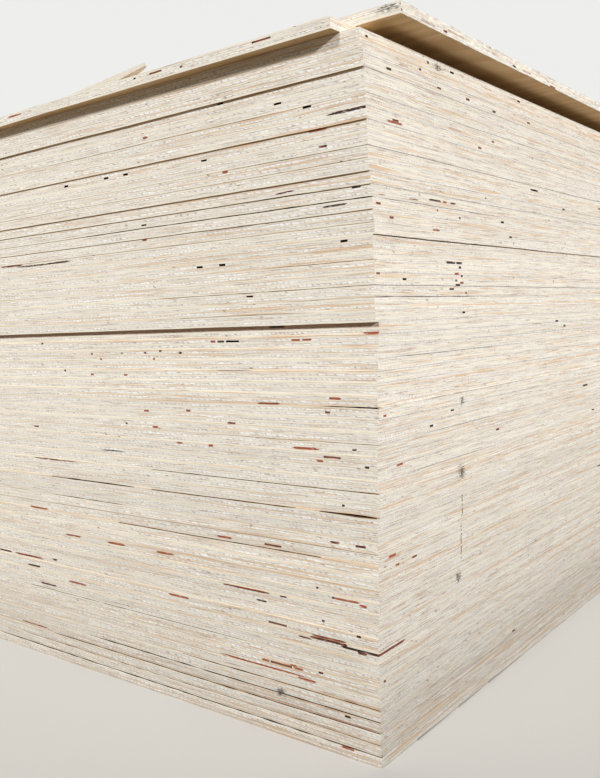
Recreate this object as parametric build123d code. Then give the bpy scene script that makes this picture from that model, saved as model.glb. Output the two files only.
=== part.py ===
from build123d import *
from dataclasses import dataclass
import os
import random

# A stack of five-ply plywood sheets lying flat: a lower pack, an upper pack on it,
# and two loose sheets on top that were put back askew.
# X runs along the sheets, Y across them and Z up. The origin is the centre of the bottom
# sheet's underside. Every edge is named as seen from the near corner, at +X and -Y:
# the front edge faces -Y, the right edge faces +X.

# One sheet and its plies. The faces and the core have their grain along X,
# the two cross plies have it along Y.
sheet_length = 2440.0
sheet_width = 1220.0
face_ply = 2.4
cross_ply = 2.4
core_ply = 2.4
sheet_thickness = 2 * face_ply + 2 * cross_ply + core_ply

# The roughness of two faces holds them this far apart at rest
rest_gap = 0.15
pitch = sheet_thickness + rest_gap

# How far single sheets stray from the line of their lift, front to back and end to end
stray_across = 0.35
stray_along = 0.45
stray_seed = 12

# Gaps between two veneer strips of a ply: how deep one runs in from the edge,
# and how much of its mouth is left at its inner end
gap_depth = 140.0
gap_tail = 0.35

# Splinter lifted from the front edge of the sheet under the loose top one,
# measured from that sheet's near corner
splinter_root = 405.0
splinter_crotch = 308.0
splinter_tip = 258.0
splinter_lift = 11.4
splinter_tip_radius = 2.1
splinter_width = 9.0
splinter_back_height = 4.0

# Chip in the top right edge of the loose top sheet, measured from its near corner
chip_start = 143.0
chip_bottom = 148.0
chip_end = 158.0
chip_depth = 2.1
chip_reach = 7.0

# Slivers torn from the lower right edge of the bottom sheet. Each is deepest at its
# near end and runs out along the edge.
sliver_starts = (70.0, 164.0, 243.0)
sliver_lengths = (88.0, 74.0, 118.0)
sliver_depth = 2.4
sliver_reach = 11.0

# Corner crushed off the bottom sheet
crushed_corner = 6.0
crushed_height = 3.4


@dataclass
class Lift:
    """Sheets set down together, so that their edges are nearly in line."""

    name: str
    sheets: int
    set_back: float  # front edge of its lowest sheet behind the nominal front
    lean: float  # further set back for each sheet above that one
    run_out: float  # right edge beyond the nominal right edge


LOWER_PACK = [
    Lift("lower_pack_lift_01", 5, 0.0, -0.15, 0.0),
    Lift("lower_pack_lift_02", 4, -0.2, 0.25, 0.3),
    Lift("lower_pack_lift_03", 2, 1.0, 0.30, -0.6),
    Lift("lower_pack_lift_04", 6, 2.0, 0.70, 0.2),
    Lift("lower_pack_lift_05", 1, 6.8, 0.0, 0.8),
    Lift("lower_pack_lift_06", 3, 5.6, 0.30, -0.2),
    Lift("lower_pack_lift_07", 2, 7.8, 0.20, 1.9),
    Lift("lower_pack_lift_08", 4, 8.8, 0.70, -0.4),
    Lift("lower_pack_lift_09", 2, 11.4, 0.60, 0.5),
    Lift("lower_pack_lift_10", 1, 12.2, 0.0, 1.9),
    Lift("lower_pack_lift_11", 4, 12.8, 1.00, 0.0),
    Lift("lower_pack_lift_12", 2, 16.9, 0.90, 0.7),
    Lift("lower_pack_lift_13", 1, 19.6, 0.0, 1.1),
]

UPPER_PACK = [
    Lift("upper_pack_lift_01", 1, 14.0, 0.0, 0.3),
    Lift("upper_pack_lift_02", 2, 14.6, 0.0, -0.5),
    Lift("upper_pack_lift_03", 2, 15.0, 0.10, 0.0),
    Lift("upper_pack_lift_04", 2, 15.4, 0.20, -0.8),
    Lift("upper_pack_lift_05", 2, 15.9, 0.0, 0.9),
    Lift("upper_pack_lift_06", 2, 14.3, -0.20, 0.4),
    Lift("upper_pack_lift_07", 1, 13.0, 0.0, 0.2),
    Lift("upper_pack_lift_08", 4, 10.6, -0.10, 0.0),
    Lift("upper_pack_lift_09", 4, 9.0, -0.10, 0.3),
    Lift("upper_pack_lift_10", 2, 6.6, -0.15, 0.0),
    Lift("upper_pack_lift_11", 1, 6.2, 0.0, -2.9),
]

# The two loose sheets: set back, run out and skew in degrees about the near corner
SPLINTERED_SHEET = Lift("splintered_sheet", 1, -9.4, 0.0, -25.0)
LOOSE_TOP_SHEET = Lift("loose_top_sheet", 1, 34.0, 0.0, 27.5)
splintered_skew = -0.2
loose_top_skew = 0.0

# Number of each sheet, counted from the floor
SPLINTERED = sum(lift.sheets for lift in LOWER_PACK + UPPER_PACK) + 1
LOOSE_TOP = SPLINTERED + 1
BOTTOM = 1

# Height of each inner ply's underside within a sheet, and the ply's thickness
PLIES = {
    "lower cross": (face_ply, cross_ply),
    "core": (face_ply + cross_ply, core_ply),
    "upper cross": (face_ply + cross_ply + core_ply, cross_ply),
}


@dataclass
class Gap:
    """Mouth of a gap between veneer strips, at one edge of a sheet."""

    sheet: int
    ply: str
    edge: str
    from_near: float  # middle of the mouth, from the edge's end at the near corner
    mouth: float


# The twelve gaps that show most on the front edges, and the twelve on the right ones
SHOWN_GAPS = [
    Gap(7, "upper cross", "front", 127.0, 30.0),
    Gap(11, "lower cross", "front", 130.0, 26.0),
    Gap(18, "lower cross", "front", 138.0, 24.0),
    Gap(26, "upper cross", "front", 55.0, 22.0),
    Gap(36, "upper cross", "front", 194.0, 20.0),
    Gap(40, "upper cross", "front", 161.0, 10.0),
    Gap(44, "upper cross", "front", 34.0, 9.0),
    Gap(48, "lower cross", "front", 324.0, 9.0),
    Gap(53, "lower cross", "front", 217.0, 9.0),
    Gap(56, "upper cross", "front", 108.0, 10.0),
    Gap(SPLINTERED, "upper cross", "front", 86.0, 25.0),
    Gap(SPLINTERED, "upper cross", "front", 242.0, 20.0),
    Gap(4, "core", "right", 320.0, 9.0),
    Gap(17, "core", "right", 70.0, 10.0),
    Gap(29, "core", "right", 155.0, 8.0),
    Gap(38, "core", "right", 187.0, 7.0),
    Gap(41, "core", "right", 56.0, 8.0),
    Gap(47, "core", "right", 296.0, 9.0),
    Gap(51, "core", "right", 403.0, 24.0),
    Gap(54, "core", "right", 54.0, 12.0),
    Gap(58, "core", "right", 149.0, 9.0),
    Gap(58, "core", "right", 217.0, 9.0),
    Gap(58, "core", "right", 390.0, 9.0),
    Gap(60, "core", "right", 186.0, 9.0),
]

# On the two far sides one sheet in a few has a gap, wherever its veneer strips met
far_gap_every = 8
far_gap_mouth = 11.0
far_gap_seed = 5


def far_gaps():
    """Gaps on the back and left edges."""
    rng = random.Random(far_gap_seed)
    gaps = []
    for sheet in range(far_gap_every, SPLINTERED, far_gap_every):
        along = rng.uniform(0.1, 0.9) * sheet_length
        across = rng.uniform(0.1, 0.9) * sheet_width
        gaps.append(Gap(sheet, "lower cross", "back", along, far_gap_mouth))
        gaps.append(Gap(sheet - 2, "core", "left", across, far_gap_mouth))
    return gaps


def gap_pocket(gap):
    """Wedge-shaped space of one gap, open at its edge and closing towards its inner end."""
    underside, height = PLIES[gap.ply]
    mouth, tail = gap.mouth / 2, gap.mouth * gap_tail / 2
    plan = Polygon((-mouth, 0), (mouth, 0), (tail, gap_depth), (-tail, gap_depth), align=None)
    pocket = extrude(plan, height, dir=(0, 0, 1))
    half_length, half_width = sheet_length / 2, sheet_width / 2
    mouth_at = {
        "front": Location((half_length - gap.from_near, -half_width, underside)),
        "back": Location((half_length - gap.from_near, half_width, underside), (0, 0, 180)),
        "right": Location((half_length, gap.from_near - half_width, underside), (0, 0, 90)),
        "left": Location((-half_length, gap.from_near - half_width, underside), (0, 0, -90)),
    }
    return mouth_at[gap.edge] * pocket


def plain_sheet():
    """A sheet sawn square, centred on the origin with its underside at zero."""
    return Box(sheet_length, sheet_width, sheet_thickness, align=(Align.CENTER, Align.CENTER, Align.MIN))


def splinter():
    """Tongue of wood torn up from the top of the front edge, still fast at its root."""
    edge_x, edge_y = sheet_length / 2, -sheet_width / 2
    root = (edge_x - splinter_root, 0)
    crotch = (edge_x - splinter_crotch, 0)
    tip_x = edge_x - splinter_tip - splinter_tip_radius
    tip_z = splinter_lift - splinter_tip_radius
    tip_top = (tip_x, tip_z + splinter_tip_radius)
    tip_end = (tip_x + splinter_tip_radius, tip_z)
    tip_under = (tip_x, tip_z - splinter_tip_radius)
    outline = [
        Line(root, tip_top),
        ThreePointArc(tip_top, tip_end, tip_under),
        Line(tip_under, crotch),
        Line(crotch, root),
    ]
    side = Plane.XZ * make_face(outline)
    tongue = extrude(side, splinter_width, dir=(0, 1, 0))
    back_height = splinter_back_height
    section = Plane.YZ * Polygon(
        (0, 0), (splinter_width, 0), (splinter_width, back_height), (0, splinter_lift), align=None
    )
    wedge = extrude(section, sheet_length, both=True)
    return Pos(0, edge_y, sheet_thickness) * (tongue & wedge)


def edge_chip():
    """Space of the chip in the top right edge of the loose top sheet."""
    profile = Plane.YZ * Polygon((chip_start, 0), (chip_end, 0), (chip_bottom, -chip_depth), align=None)
    chip = extrude(profile, chip_reach, dir=(-1, 0, 0))
    return Pos(sheet_length / 2, -sheet_width / 2, sheet_thickness) * chip


def torn_slivers():
    """Spaces of the slivers torn from the lower right edge of the bottom sheet."""
    spaces = []
    for start, length in zip(sliver_starts, sliver_lengths):
        profile = Plane.YZ * Polygon((start, 0), (start + length, 0), (start, sliver_depth), align=None)
        sliver = extrude(profile, sliver_reach, dir=(-1, 0, 0))
        spaces.append(Pos(sheet_length / 2, -sheet_width / 2, 0) * sliver)
    return spaces


def crushed_off():
    """Space of the splinters crushed off the bottom sheet's near corner."""
    plan = Polygon((0, 0), (-crushed_corner, 0), (0, crushed_corner), align=None)
    crushed = extrude(plan, crushed_height, dir=(0, 0, 1))
    return Pos(sheet_length / 2, -sheet_width / 2, 0) * crushed


def shaped_sheet(number, gaps):
    """One sheet with its gaps and its own damage, centred on the origin."""
    sheet = plain_sheet()
    for gap in gaps:
        if gap.sheet == number:
            sheet -= gap_pocket(gap)
    if number == BOTTOM:
        for space in torn_slivers():
            sheet -= space
        sheet -= crushed_off()
    if number == SPLINTERED:
        sheet += splinter()
    if number == LOOSE_TOP:
        sheet -= edge_chip()
    return sheet


def place(sheet, number, run_out, set_back):
    """Move a sheet to its place in the stack, counted from the floor."""
    return Pos(run_out, set_back, (number - 1) * pitch) * sheet


def skew(sheet, degrees):
    """Turn a sheet about its near corner."""
    corner = Pos(sheet_length / 2, -sheet_width / 2, 0)
    return corner * Rot(0, 0, degrees) * corner.inverse() * sheet


def packed_lifts(gaps):
    """Every lift of the two packs, as its name and the sheets in it."""
    rng = random.Random(stray_seed)
    number = BOTTOM
    for lift in LOWER_PACK + UPPER_PACK:
        sheets = []
        for place_in_lift in range(lift.sheets):
            set_back = lift.set_back + place_in_lift * lift.lean + rng.uniform(-stray_across, stray_across)
            run_out = lift.run_out + rng.uniform(-stray_along, stray_along)
            if number == BOTTOM:
                set_back, run_out = 0, 0
            sheets.append(place(shaped_sheet(number, gaps), number, run_out, set_back))
            number += 1
        yield lift.name, sheets


def loose_sheets(gaps):
    """The two sheets on top, each with its own skew."""
    for lift, number, degrees in (
        (SPLINTERED_SHEET, SPLINTERED, splintered_skew),
        (LOOSE_TOP_SHEET, LOOSE_TOP, loose_top_skew),
    ):
        sheet = skew(shaped_sheet(number, gaps), degrees)
        yield lift.name, [place(sheet, number, lift.run_out, lift.set_back)]


os.makedirs("parts", exist_ok=True)
all_gaps = SHOWN_GAPS + far_gaps()
for source in (packed_lifts(all_gaps), loose_sheets(all_gaps)):
    for name, sheets in source:
        export_step(Compound(children=[s.solid() for s in sheets]), f"parts/{name}.step")
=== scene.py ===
import math
import random
from dataclasses import dataclass, replace

import bmesh
import bpy
from bpy.props import FloatProperty, FloatVectorProperty, IntProperty, PointerProperty
from mathutils import Matrix, Vector, noise


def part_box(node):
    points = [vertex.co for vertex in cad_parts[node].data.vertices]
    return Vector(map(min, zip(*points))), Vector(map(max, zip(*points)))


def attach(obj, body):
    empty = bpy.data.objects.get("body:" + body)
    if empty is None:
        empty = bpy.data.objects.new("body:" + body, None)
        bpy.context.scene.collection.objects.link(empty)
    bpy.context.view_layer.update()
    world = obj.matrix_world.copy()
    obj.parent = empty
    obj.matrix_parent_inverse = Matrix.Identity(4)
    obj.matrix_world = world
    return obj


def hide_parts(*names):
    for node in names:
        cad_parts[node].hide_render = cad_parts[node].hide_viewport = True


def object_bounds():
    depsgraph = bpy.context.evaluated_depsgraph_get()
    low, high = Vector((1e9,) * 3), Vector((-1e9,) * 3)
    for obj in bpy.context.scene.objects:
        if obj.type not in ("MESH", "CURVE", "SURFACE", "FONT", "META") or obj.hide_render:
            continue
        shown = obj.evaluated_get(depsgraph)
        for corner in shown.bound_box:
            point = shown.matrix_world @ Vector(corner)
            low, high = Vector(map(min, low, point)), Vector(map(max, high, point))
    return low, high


bl_info = {
    "name": "Plywood stack",
    "version": (1, 0, 0),
    "blender": (4, 5, 0),
    "location": "3D View > Sidebar > Plywood",
    "description": "Veneered sheets with sawn edges, stacked flat, and a pale studio floor",
    "category": "Add Mesh",
}

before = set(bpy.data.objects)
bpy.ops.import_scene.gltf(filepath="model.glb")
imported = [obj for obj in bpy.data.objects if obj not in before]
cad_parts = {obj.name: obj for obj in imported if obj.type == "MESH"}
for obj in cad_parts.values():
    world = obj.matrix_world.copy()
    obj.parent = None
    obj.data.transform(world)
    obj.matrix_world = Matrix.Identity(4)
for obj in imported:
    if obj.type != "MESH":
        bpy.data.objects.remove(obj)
CAD_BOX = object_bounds()

MM = 0.001

# Every sheet has five plies of one thickness. The pitch is a sheet and its rest gap.
PLIES = 5
LOOSE_TOP = "loose_top_sheet"
SPLINTERED = "splintered_sheet"
TOP_LOW, TOP_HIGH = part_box(LOOSE_TOP)
THICKNESS = TOP_HIGH.z - TOP_LOW.z
PITCH = TOP_LOW.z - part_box(SPLINTERED)[0].z
PLY = THICKNESS / PLIES
SHEETS = round(TOP_LOW.z / PITCH) + 1
LOWER_FACE, LOWER_CROSS, CORE, UPPER_CROSS, UPPER_FACE = range(PLIES)

# Joints that open further than this get painted shade on the strips inside
SHADED_OPENING = 0.3 * MM

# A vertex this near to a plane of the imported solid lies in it, and two as near as this are one
TOUCH = 0.05 * MM
SAME_PLACE = 0.005 * MM

# An open joint opens over the first length and closes over the second
RUN_IN, RUN_OUT = 30 * MM, 60 * MM

# No vertex of an edge stands nearer to its ends, or to the end of a mark
END_MARGIN, MARK_MARGIN = 0.2 * MM, 1.5 * MM

# Depth of a hole that the picture doesn't show, and how many of the lowest sheets are worn more
UNSEEN_DEPTH = 16 * MM
WORN_SHEETS = 10

# Corners of a sheet by the signs of X and Y, and its edges by the corners they join.
# Distances along an edge count from its first corner.
CORNERS = {"near": (1, -1), "back_right": (1, 1), "back_left": (-1, 1), "front_left": (-1, -1)}
EDGES = {
    "front": ("near", "front_left"),
    "right": ("near", "back_right"),
    "back": ("back_right", "back_left"),
    "left": ("front_left", "back_left"),
}
EDGE_NAMES = list(EDGES)
AT_CORNER = len(EDGES)
LONG_EDGES = ("front", "back")

# Places in the tables are counted from here along the front and the right face, whatever the
# stagger of the sheet
FACE_START = Vector((1220 * MM, -610 * MM, 0))

# Material slots of a sheet
LONG_WOOD, SHORT_WOOD, FACE_WOOD, SHADED_GAP_WOOD, TORN_WOOD, BARK_WOOD = range(6)


@dataclass
class Mark:
    """A dark streak in one ply: caught bark, a hole where two veneer strips stand apart, or painted shadow
    under an overhang.
    """

    sheet: int
    ply: int
    edge: str
    middle: float
    length: float
    black: float
    thick: float = 1.0
    hole: float = 0.0


@dataclass
class OpenJoint:
    """A stretch where two sheets stand apart at their rims."""

    below: int
    edge: str
    start: float
    end: float
    height: float


# Streaks on the front and the right face, ply by ply: sheet, middle, length, share of black and, where
# it isn't 1, thickness. Lengths are millimetres. A share below 0 makes a faint stain. Separate scripts
# worked out the tables of streaks, small holes and open joints from the picture.
FRONT_MARKS = {
    LOWER_FACE: [
        (37, 9, 21, 0, 0.8), (35, 322, 4, 0.1), (35, 421, 5, 0.1), (31, 140, 34, 0.3), (30, 263, 8, 0.4),
        (30, 263, 7, 0.3), (29, 195, 14, 0.4), (26, 13, 6, 0.9), (18, 562, 46, 0.3), (13, 153, 17, 1, 0.6),
        (11, 62, 46, 0.4), (7, 152, 140, 0.1, 0.6), (6, 36, 18, -0.8), (4, 58, 113, -0.8, 1.2),
        (4, 129, 54, -0.9, 1.2),
    ],
    LOWER_CROSS: [
        (49, 105, 29, 0.6, 0.5), (28, 320, 11, 0), (27, 90, 38, 0), (26, 71, 9, 0.1), (18, 209, 26, 0.1),
        (15, 77, 4, 1), (12, 585, 70, 0.4), (12, 643, 34, 0.6), (11, 574, 32, 0.8, 0.7),
        (4, 578, 65, 0.1, 0.6),
    ],
    CORE: [
        (61, 226, 5, 0.5), (56, 308, 9, 0.3), (52, 53, 12, 0.5), (33, 373, 8, 0.1), (33, 438, 7, 0.1),
        (30, 61, 7, 0.4), (28, 372, 4, 1), (27, 28, 6, 0.8), (27, 561, 12, 0.1), (25, 400, 51, 0.8, 0.5),
        (19, 21, 14, 0.6, 1.2), (19, 53, 13, 0.5, 1.1), (14, 19, 10, -0.3, 0.8), (12, 69, 4, 1),
        (12, 526, 13, 0.9, 0.7), (10, 20, 12, 0.5, 1.3), (10, 477, 41, 0.1), (9, 541, 38, 0.6, 1.3),
    ],
    UPPER_CROSS: [
        # Sheet 37's 900 mm row is painted shadow: a brown band where the upper pack overhangs it.
        (61, 538, 34, 0.2, 0.6), (47, 44, 33, 0.9, 0.7), (45, 530, 128, 0.7, 0.7), (37, 300, 900, -0.8),
        (36, 88, 13, 0.1, 1.1), (36, 103, 13, 0.1, 1.1), (36, 211, 12, 1), (36, 223, 9, 0.2),
        (35, 276, 6, 1), (35, 337, 4, 0.6), (35, 380, 4, 0.9), (35, 439, 4, 0.7), (31, 51, 17, 0.1, 0.8),
        (22, 42, 4, 1), (15, 306, 34, 0.2, 0.8), (15, 397, 38, 0.1), (15, 484, 35, 0.3),
        (14, 39, 34, -0.3, 0.9), (14, 56, 4, 1), (11, 284, 38, 0.1), (10, 8, 24, 0.7, 1.5),
        (10, 30, 34, 1, 1.1), (10, 93, 19, 0.6, 0.6), (7, 103, 15, 0, 0.7), (7, 149, 12, 0, 0.7),
        (4, 40, 8, 1),
    ],
    UPPER_FACE: [
        (54, 15, 68, 0.75, 0.75), (53, 59, 27, 0.2), (51, 186, 9, 0.3), (48, 17, 12, 0.9),
        (46, 191, 83, -1, 0.6), (46, 326, 10, 0.2), (45, 602, 55, 0.5, 0.7), (37, 129, 22, 1, 2.6),
        # Sheet 37's 900 mm row here is painted shadow too, under the overhang of the upper pack.
        (37, 300, 900, -0.8, 2), (36, 545, 5, 0.8), (35, 310, 5, 1), (33, 494, 4, 1), (29, 335, 10, 0.2),
        (26, 227, 8, 0.1), (26, 278, 12, 0, 0.7), (23, 521, 104, 0.5, 0.5), (13, 122, 11, 1, 0.6),
        (13, 176, 73, 0.45, 0.8), (11, 24, 6, 0.7), (10, 62, 50, 0.6, 1.5), (7, 73, 7, 0.6),
        (7, 110, 11, 0, 0.8), (6, 92, 27, 0, 0.8), (1, 42, 18, 0.2),
    ],
}
RIGHT_MARKS = {
    LOWER_FACE: [
        (62, 413, 21, 0.3), (46, 333, 10, 0.7), (43, 174, 24, 1, 0.9), (43, 194, 16, 1),
        (42, 186, 12, 0.1, 0.9), (41, 188, 12, 1), (21, 187, 2, 0.6), (17, 181, 2, 0.6), (16, 181, 2, 0.6),
        (2, 0, 4, 1),
    ],
    LOWER_CROSS: [
        (62, 35, 5, 0.9), (62, 87, 30, -0.75), (62, 122, 9, 0.4), (62, 294, 13, 0.9), (62, 330, 24, -0.75),
        (59, 82, 18, -1, 1.2), (58, 293, 10, 0.9), (55, 190, 36, -1, 0.7), (55, 288, 9, 0.4),
        (54, 61, 36, 0.1, 0.7), (54, 252, 10, 0.2), (53, 147, 18, -1, 0.9), (48, 33, 14, 0.4, 0.5),
        (48, 95, 22, 0.4, 0.5), (47, 197, 5, 0.9), (41, 198, 10, 0.2, 0.9), (40, 210, 5, 1),
        (30, 23, 7, 0.1), (20, 186, 2, 0.6), (19, 186, 2, 0.6), (18, 31, 34, -1, 0.8), (18, 181, 2, 0.6),
        (17, 181, 2, 0.6), (16, 181, 2, 0.6), (15, 179, 2, 0.6), (8, 9, 5, 0.5),
    ],
    CORE: [
        (62, 146, 38, -0.75, 1.2), (62, 242, 21, -0.8), (60, 19, 5, 0.7), (60, 138, 5, 0.9),
        (59, 115, 5, 0.8), (58, 53, 11, 0.8), (48, 141, 30, 1, 0.6), (48, 163, 10, 0.2, 0.6),
        (48, 182, 14, 1, 0.7), (47, 26, 10, 0.4), (46, 49, 9, 0.3), (41, 184, 6, 0.7, 1.3),
        (28, 119, 8, 0.9), (26, 286, 11, 0.6), (19, 187, 2, 0.6), (18, 31, 15, 0), (17, 41, 9, 0.2),
        (17, 182, 2, 0.6),
    ],
    UPPER_CROSS: [
        (47, 145, 4, 0.4), (42, 194, 6, 1), (40, 175, 13, 0.9, 0.9), (20, 186, 2, 0.6), (19, 187, 2, 0.6),
        (16, 181, 2, 0.6), (15, 179, 2, 0.6), (10, 24, 60, 0.4),
    ],
    UPPER_FACE: [
        (45, 139, 18, 0.1, 0.7), (41, 21, 8, 0.3), (41, 198, 5, 1, 1.2), (25, 52, 14, 0, 0.7),
        (20, 186, 2, 0.6), (19, 187, 2, 0.6), (17, 182, 2, 0.6), (16, 181, 2, 0.6), (15, 180, 2, 0.6),
        (13, 40, 30, -1, 0.8), (13, 87, 24, -1, 0.8),
    ],
}

# Small holes: sheet, ply, edge, middle, length, share of black and depth
SMALL_HOLES = [
    (61, UPPER_CROSS, "front", 302, 4, 0.9, 10), (57, UPPER_FACE, "front", 187, 9, 0.8, 16),
    (55, UPPER_FACE, "front", 70, 11, 0.8, 16), (53, CORE, "front", 348, 9, 0.8, 16),
    (53, CORE, "front", 384, 9, 0.8, 16), (53, CORE, "front", 463, 8, 0.8, 16),
    (43, UPPER_CROSS, "front", 201, 10, 0.9, 14), (43, UPPER_CROSS, "front", 236, 10, 0.9, 14),
    (60, CORE, "right", 373, 10, 0.8, 16),
]

# Open joints: sheet below, start, end and height
OPEN_FRONT = [
    (1, -30, 696, 1.2), (2, -30, 636, 0.9), (3, -30, 557, 1), (4, -30, 477, 1.1), (5, -30, 299, 0.8),
    (8, 160, 637, 0.5), (17, 64, 425, 0.5), (19, 371, 548, 0.9), (21, -8, 84, 2.3), (21, 95, 366, 0.6),
    (21, 353, 548, 1.1), (23, -30, 358, 0.6), (27, -30, 271, 0.35), (30, -30, 75, 1.8), (33, 152, 250, 0.6),
    (38, 70, 324, 0.45), (39, 30, 132, 0.5), (40, -30, 345, 0.55), (42, -30, 163, 0.5),
    (47, -30, 477, 0.95), (48, 59, 181, 0.6), (51, -30, 209, 0.5), (55, 107, 510, 0.4),
]
OPEN_RIGHT = [
    (10, -30, 70, 1.1), (27, 89, 328, 0.5), (34, 39, 297, 0.5), (39, -30, 259, 0.6), (44, -30, 429, 0.8),
    (47, 19, 327, 0.6), (24, 59, 298, 0.5), (30, 96, 412, 0.5),
]


def as_marks(table, edge):
    """The rows of a table of streaks as marks on one edge, in metres."""
    for ply, rows in table.items():
        for sheet, middle, size, *rest in rows:
            yield Mark(sheet, ply, edge, middle * MM, size * MM, *rest)


def as_holes(rows):
    """The rows of the small holes as marks, in metres."""
    for sheet, ply, edge, middle, size, black, depth in rows:
        yield Mark(sheet, ply, edge, middle * MM, size * MM, black, hole=depth * MM)


def as_joints(rows, edge):
    """The rows of a table of open joints as joints on one edge, in metres."""
    return [OpenJoint(below, edge, start * MM, end * MM, height * MM) for below, start, end, height in rows]


# Edges and sheets whose gaps have bark caught in the mouth
BARKED = {("front", sheet) for sheet in (7, 11, 18, 26, 61)} | {("right", sheet) for sheet in (17, 54, 58)}

SEEN_MARKS = [*as_marks(FRONT_MARKS, "front"), *as_marks(RIGHT_MARKS, "right"), *as_holes(SMALL_HOLES)]
OPEN_JOINTS = as_joints(OPEN_FRONT, "front") + as_joints(OPEN_RIGHT, "right")


def colour(red, green, blue):
    """A colour picked on screen, 0 to 255, as the linear values that shaders take."""
    picked = [value / 255 for value in (red, green, blue)]
    return tuple(v / 12.92 if v <= 0.04045 else ((v + 0.055) / 1.055) ** 2.4 for v in picked)


def length(name, description, default):
    """A length that a user can set."""
    return FloatProperty(name=name, description=description, default=default, unit="LENGTH", precision=5)


def share(name, description, default):
    """A number from 0 to 1 that a user can set."""
    return FloatProperty(name=name, description=description, default=default, min=0, max=1, subtype="FACTOR")


def strength(name, description, default):
    """The strength of a light that a user can set."""
    return FloatProperty(name=name, description=description, default=default, min=0)


def swatch(name, description, default):
    """A colour that a user can set."""
    return FloatVectorProperty(
        name=name, description=description, default=default, size=3, min=0, max=1, subtype="COLOR"
    )


class SheetSettings(bpy.types.PropertyGroup):
    """Sizes of the visible sheets."""

    near_spacing: length("Near spacing", "Between vertices near the near corner", 8 * MM)
    far_spacing: length("Far spacing", "Between vertices elsewhere", 28 * MM)
    fine_spacing: length("Fine spacing", "Between vertices of the loose sheets", 4 * MM)
    near_stretch: length("Near stretch", "How far the near spacing goes from the near corner", 0.66)
    rim: length("Rim", "Width of the strip that may bend", 7 * MM)
    wave_height: length("Wave height", "How far the joints between sheets wander", 0.42 * MM)
    wave_length: length("Wave length", "Length of those waves", 0.16)
    ply_wave: length("Ply wave", "How far a ply's joint wanders within a sheet", 0.28 * MM)
    slack: length("Slack", "Usual opening of the joint between two sheets", 0.10 * MM)
    saw_relief: length("Saw relief", "How far plies stand back from the sawn line", 0.10 * MM)
    arris_wear: length("Arris wear", "How far the arrises are worn back", 0.10 * MM)
    mouth_lip: length("Mouth lip", "Wood left above and below the mouth of a gap", 0.12 * MM)
    gap_depth: length("Gap depth", "How deep a gap between veneer strips runs in", 0.14)
    gap_tail: share("Gap tail", "Share of a gap's mouth that is left at its inner end", 0.35)
    seed: IntProperty(name="Seed", description="Picks the unseen marks and loose fibres", default=7, min=0)


class WoodSettings(bpy.types.PropertyGroup):
    """Colours of the wood."""

    cream: swatch("Cream", "Long grain of a ply, seen from the side", colour(237, 232, 218))
    tan: swatch("Tan", "Darker streaks of the long grain", colour(221, 193, 162))
    rose: swatch("Rose", "Brownish hairs in the wood", colour(168, 144, 124))
    white: swatch("White", "Torn, bright end grain", colour(250, 251, 249))
    grey: swatch("Grey", "End grain between the bright dashes", colour(218, 213, 203))
    check: swatch("Check", "Small checks and specks", colour(112, 84, 68))
    bark: swatch("Bark", "Caught bark", colour(164, 86, 54))
    black: swatch("Black", "The darkest marks", colour(42, 18, 12))
    # Painted shade: this dark brown on the walls of the gaps and in wide open joints stands in for the shade
    # inside them.
    gap: swatch("Gap", "Wood inside a gap", colour(66, 36, 22))
    veneer: swatch("Veneer", "Light wood of the broad faces", colour(224, 194, 150))
    veneer_dark: swatch("Veneer figure", "Dark bands of that figure", colour(198, 162, 114))
    soot: swatch("Soot", "Rubbed-in dirt", colour(60, 52, 44))


class StageSettings(bpy.types.PropertyGroup):
    """Floor, backdrop and lights."""

    backdrop: swatch("Backdrop", "Backdrop and far floor", colour(238, 238, 236))
    floor: swatch("Floor", "Floor near the stack", colour(216, 215, 212))
    reach: length("Reach", "Radius of the floor", 30.0)
    key: strength("Key", "The low light from the right", 2.95)
    front: strength("Front light", "The light from ahead", 1.5)
    back: strength("Back light", "The light from behind", 2.2)
    fill: strength("Fill", "The light from all round", 0.15)
    bounce: share("Bounce", "How much of its colour the floor throws back at the stack", 0.31)


class Wire:
    """A socket's value, to be used in an expression. Each operation adds its Math node."""

    def __init__(self, graph, socket):
        self.graph = graph
        self.socket = socket

    def math(self, operation, *others):
        """This value and the others through one Math node."""
        inputs = dict(zip(("Value", "Value_001", "Value_002"), (self, *others)))
        return self.graph.node("ShaderNodeMath", {"operation": operation}, inputs)["Value"]

    def __add__(self, other):
        return self.math("ADD", other)

    def __sub__(self, other):
        return self.math("SUBTRACT", other)

    def __rsub__(self, other):
        return self.math("MULTIPLY_ADD", -1.0, other)

    def __mul__(self, other):
        return self.math("MULTIPLY", other)

    __radd__ = __add__
    __rmul__ = __mul__

    def __truediv__(self, other):
        return self.math("DIVIDE", other)

    def floor(self):
        return self.math("FLOOR")

    def fract(self):
        return self.math("FRACT")

    def distance_to(self, other):
        return (self - other).math("ABSOLUTE")

    def least(self, other):
        return self.math("MINIMUM", other)

    def most(self, other):
        return self.math("MAXIMUM", other)

    def step(self, low, high):
        """0 below low and 1 above high, smooth between them. low may be the larger."""
        return self.graph.node(
            "ShaderNodeMapRange",
            {"interpolation_type": "SMOOTHSTEP", "clamp": True},
            {"Value": self, "From Min": low, "From Max": high, "To Min": 0.0, "To Max": 1.0},
        )["Result"]


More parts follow.
